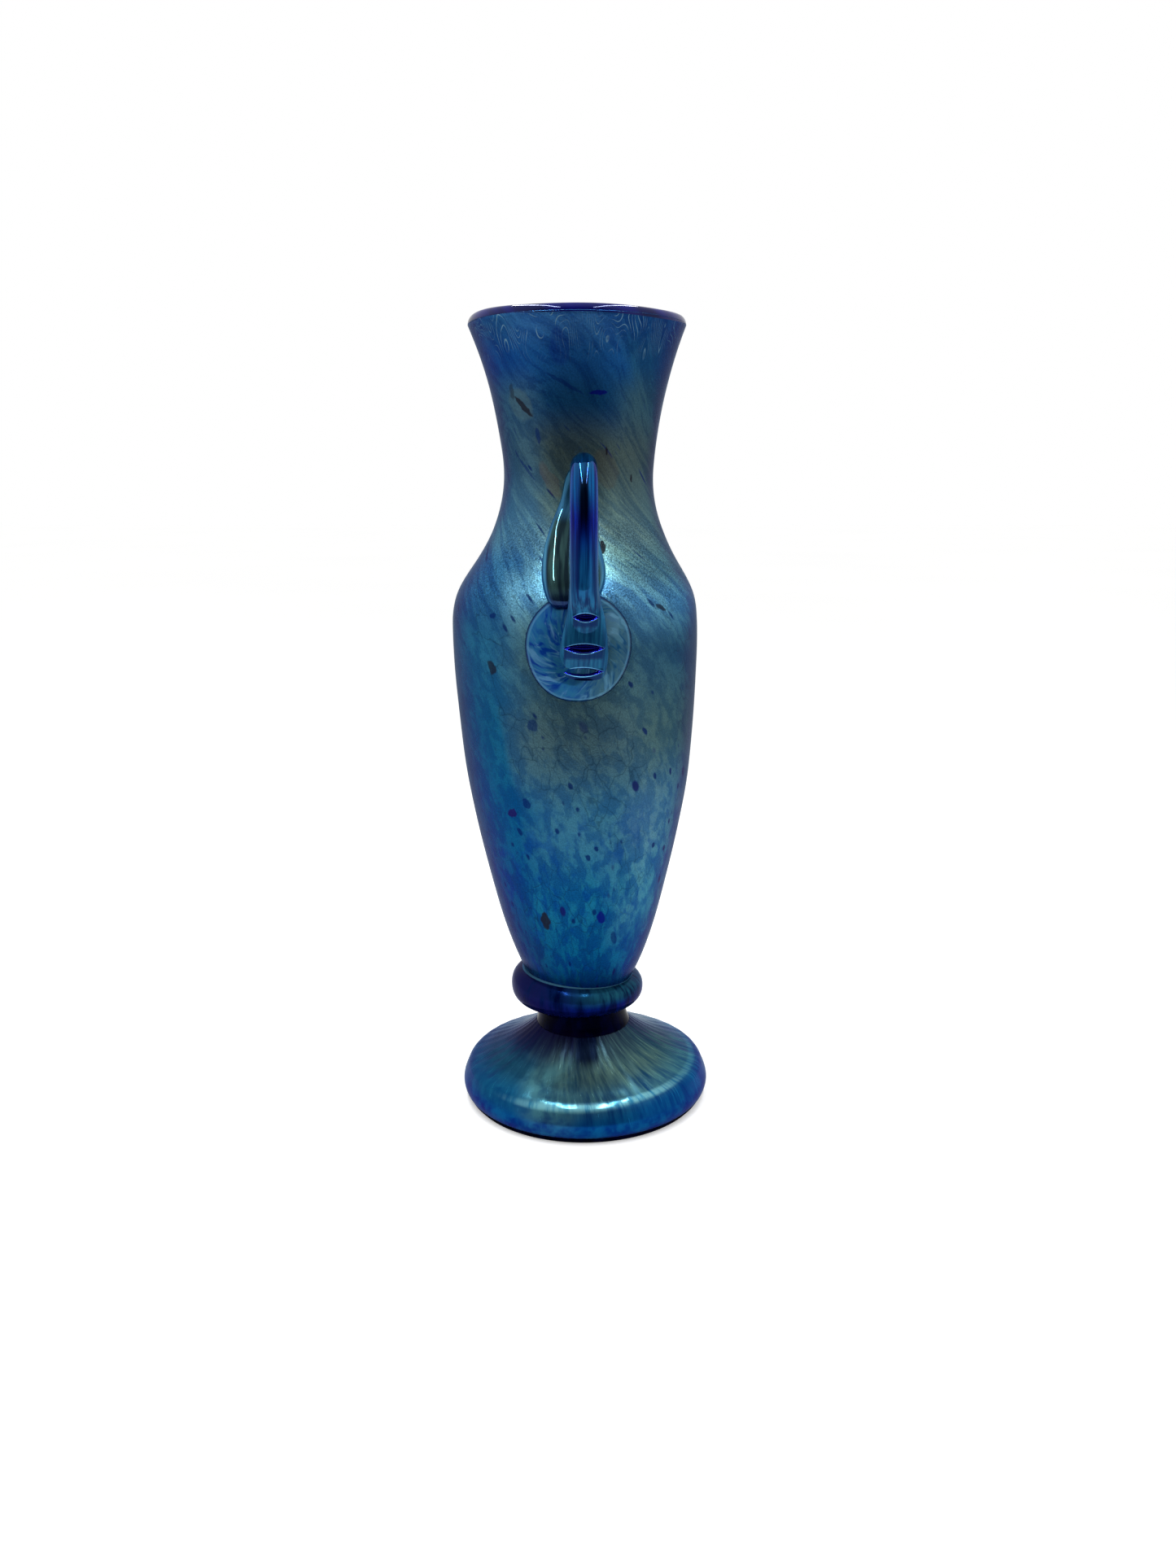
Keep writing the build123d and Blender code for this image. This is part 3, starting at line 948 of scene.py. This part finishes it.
def drop_glass():
    """Lustred blue-green glass with dark streaks drawn through it. Its middle is painted dark
    olive and its flanks pale blue, a painted reflection of the dark room in front and the pale
    room at the sides.
    """
    look = Look(
        "smoky_drop_glass", Roughness=0.06, IOR=1.5, Metallic=0.75,
        Specular_Tint=srgb(120, 200, 230), Coat_Weight=0.15, Coat_Roughness=0.04)
    flow, place = look.flow(), look.place()
    height = look.parts(place)[2]
    aside = look.parts(flow)[0]
    streaks = look.noise(flow, 1.5, detail=3, rough=0.5)
    flank = look.mix(look.step(streaks, 0.35, 0.65), srgb(40, 98, 146), srgb(80, 146, 182))
    inside = look.mix(look.step(streaks, 0.38, 0.62), srgb(14, 34, 44), srgb(52, 84, 84))
    # painted reflection: dark in the middle, pale on the flanks and near the top
    flank_share = look.math("MAXIMUM", look.step(look.math("ABSOLUTE", aside), 6.3, 7.4),
                            look.step(height, 193, 198))
    colour = look.mix(flank_share, inside, flank)
    colour = look.paint(colour, (4, 22, 92), look.step(height, 176, 170, 0, 0.8))
    colour = look.paint(colour, (38, 92, 124), look.step(height, 196, 206))
    return look.done(Base_Color=colour, Normal=look.bump(streaks, 0.04, 0.0004))


def rod_tones(look, flow, height):
    """Lines of deep and light blue drawn out along the rod, and what bumps follow."""
    lines = look.noise(look.vector("MULTIPLY", flow, (1, 1, 0.3)), 1.1, detail=3, rough=0.6)
    span = (146, 214)
    deep = look.ladder(height, *span, (
        (148, (4, 50, 100)), (166, (2, 46, 92)), (180, (0, 32, 92)), (194, (0, 8, 90)),
        (204, (0, 34, 100)), (213, (4, 50, 92))))
    light = look.ladder(height, *span, (
        (148, (36, 112, 152)), (166, (32, 108, 152)), (180, (20, 96, 156)), (194, (0, 34, 150)),
        (204, (10, 96, 160)), (213, (24, 96, 140))))
    drawn = look.blend(look.step(height, 160, 172), look.step(lines, 0.2, 0.8),
                       look.step(lines, 0.38, 0.62))
    return look.mix(drawn, deep, light), lines


def groove(look, colour, lustre, crimp, aside, height):
    """A crimp: a violet-blue lens with a bright outline that is a painted highlight, and a painted
    shadow under its lip.
    """
    level, _, half_width, half_height, _ = crimp
    wide = look.math("DIVIDE", aside, half_width)
    open_share = look.math("SUBTRACT", 1.0, look.times(wide, wide))
    tall = look.math("DIVIDE", look.math("SUBTRACT", height, level), half_height)
    # painted shadow under the lip
    shadow = look.times(look.step(tall, -2.9, -2.0), look.step(open_share, 0.05, 0.3),
                        look.step(tall, 0.4, -0.4))
    colour = look.paint(colour, (0, 30, 78), shadow, 0.9)
    reach = look.math("DIVIDE", look.math("ABSOLUTE", tall),
                      look.math("MAXIMUM", open_share, 0.001))
    # painted highlight: the bright outline of the lens
    outline = look.times(look.step(reach, 1.30, 1.14), look.step(tall, -0.15, 0.15, 1.0, 0.6))
    colour = look.paint(colour, (120, 205, 255), outline)
    inside = look.step(reach, 1.08, 0.92)
    colour = look.paint(colour, (16, 20, 150), inside)
    return colour, look.math("MAXIMUM", lustre, look.math("MAXIMUM", shadow, inside))


def rod_glass():
    """Deep blue lustred glass with a dark core below the bend, a painted reflection of the dark
    room in front, and pale flanks low down, painted highlights along its edges.
    """
    look = Look(
        "drawn_handle_glass", Roughness=0.045, IOR=1.5, Specular_IOR_Level=0.12,
        Specular_Tint=srgb(60, 150, 225), Coat_Weight=0.16, Coat_Roughness=0.02)
    flow, height = look.flow(), look.parts(look.place())[2]
    aside = look.parts(flow)[0]
    off_middle = look.math("ABSOLUTE", aside)
    colour, lines = rod_tones(look, flow, height)
    # painted reflection: the dark core below the bend
    core = look.times(look.step(off_middle, 1.5, 0.7), look.step(height, 186, 197))
    colour = look.paint(colour, (0, 0, 20), core, look.step(height, 210, 204), 0.9)
    # painted highlight: pale lines along the edges low down
    rim = look.times(look.step(off_middle, 3.60, 3.75), look.step(height, 168, 176))
    colour = look.paint(colour, (100, 155, 190), rim, 0.4)
    lustre = look.step(height, 188, 196, 0.4, 0.8)
    for crimp in CRIMPS:
        colour, lustre = groove(look, colour, lustre, crimp, aside, height)
    return look.done(Base_Color=colour, Metallic=lustre, Normal=look.bump(lines, 0.035, 0.0003))


# ---- studio ----
def backdrop():
    """A pale floor. It ends in front of the vase, so that the handle reflects a dark room."""
    half, front_end, glow = 12.0, -0.3, 0.38
    look = Look("studio_floor", Roughness=0.9, Specular_IOR_Level=0.0, Emission_Color=WHITE)
    spread = look.noise(look.add("TexCoord", {}, output="Object"), 0.6, detail=2)
    seen = look.times(look.add("LightPath", {}, output="Is Camera Ray"), glow)
    pale = look.mix(spread, srgb(238, 238, 238), srgb(244, 244, 243))
    look.done(Base_Color=pale, Emission_Strength=seen)
    work = bmesh.new()
    bmesh.ops.create_grid(work, x_segments=8, y_segments=8, size=half)
    for corner in work.verts:
        corner.co.y = (corner.co.y + half) / 2 + front_end
    mesh = bpy.data.meshes.new("floor")
    work.to_mesh(mesh)
    work.free()
    mesh.materials.append(look.material)
    floor = bpy.data.objects.new("floor", mesh)
    show(floor)


def panel(name, centre, size, power):
    """A flat lamp that faces down."""
    light = bpy.data.lights.new(name, "AREA")
    light.shape = "RECTANGLE"
    light.size, light.size_y = size
    light.energy = power
    lamp = bpy.data.objects.new(name, light)
    lamp.location = centre
    show(lamp)


def lights():
    """Two long strip lamps overhead, one on each side. Metres and watts."""
    top, front, back, width = 0.51, -0.34, 0.17, 0.010
    middle = (front + back) / 2
    for name, across, power in (("strip_left", -0.12, 1.2), ("strip_right", 0.12, 1.0)):
        panel(name, (across, middle, top), (width, back - front), power)


def surroundings():
    """A pale room, darker in front of the vase, behind whoever looks at it."""
    world = bpy.data.worlds.new("studio")
    world.use_nodes = True
    world.node_tree.nodes.clear()
    nodes = Nodes(world.node_tree)
    # the opening that the vase is seen through is dark
    toward = nodes.parts(nodes.add("TexCoord", {}, output="Generated"))["Y"]
    shade = nodes.step(toward, -0.92, -0.45, 0.06, 0.78)
    room = nodes.add("Background", {"Color": WHITE, "Strength": shade})
    seen = nodes.add("Background", {"Color": WHITE, "Strength": 1.0})
    camera_ray = nodes.add("LightPath", {}, output="Is Camera Ray")
    choice = nodes.add("MixShader", {0: camera_ray, 1: room, 2: seen})
    nodes.join(nodes.tree.nodes.new("ShaderNodeOutputWorld").inputs[0], choice)
    bpy.context.scene.world = world


def camera():
    """The photograph's view: close, level with the handle and looking down a little (radians)."""
    distance, eye_level, down, aside = 0.3936, 0.1988, 0.2255, -0.0087
    lens = bpy.data.cameras.new("camera")
    lens.sensor_width = 36
    lens.lens = 28.02
    lens.clip_start, lens.clip_end = 0.01, 50
    eye = bpy.data.objects.new("camera", lens)
    eye.location = (0, -distance, eye_level)
    eye.rotation_euler = (math.pi / 2 - down, 0, aside)
    show(eye)
    bpy.context.scene.camera = eye


def handle(side, side_name, pad_material, drop_material, rod_material):
    name = side_name + "_handle_"
    fit(handle_pad(name + "pad", side), pad_material, "swirled_glass", name + "disc")
    fit(handle_drop(name + "teardrop", side), drop_material, "smoky_glass", name + "drop")
    fit(handle_rod(name + "crimped_rod", side), rod_material, "handle_glass", name + "rod")


def vase():
    glass = cobalt_glass()
    fit(body_skin(), body_pattern(), "iridescent_overlay", "body_overlay")
    fit(body_glass(), lip_glass(), "cobalt_glass", "body_bubble")
    fit(collar_ring(), collar_glass(), "cobalt_glass", "collar")
    fit(stem_button(), glass, "cobalt_glass", "stem")
    fit(foot_skin(), foot_pattern(), "iridescent_overlay", "foot_overlay")
    fit(foot_glass(), glass, "cobalt_glass", "foot_disc")
    pad_material, drop_material, rod_material = pad_glass(), drop_glass(), rod_glass()
    handle(1, "front", pad_material, drop_material, rod_material)
    handle(-1, "rear", pad_material, drop_material, rod_material)


camera()
lights()
surroundings()
backdrop()
vase()
bpy.context.scene.view_settings.view_transform = "Standard"
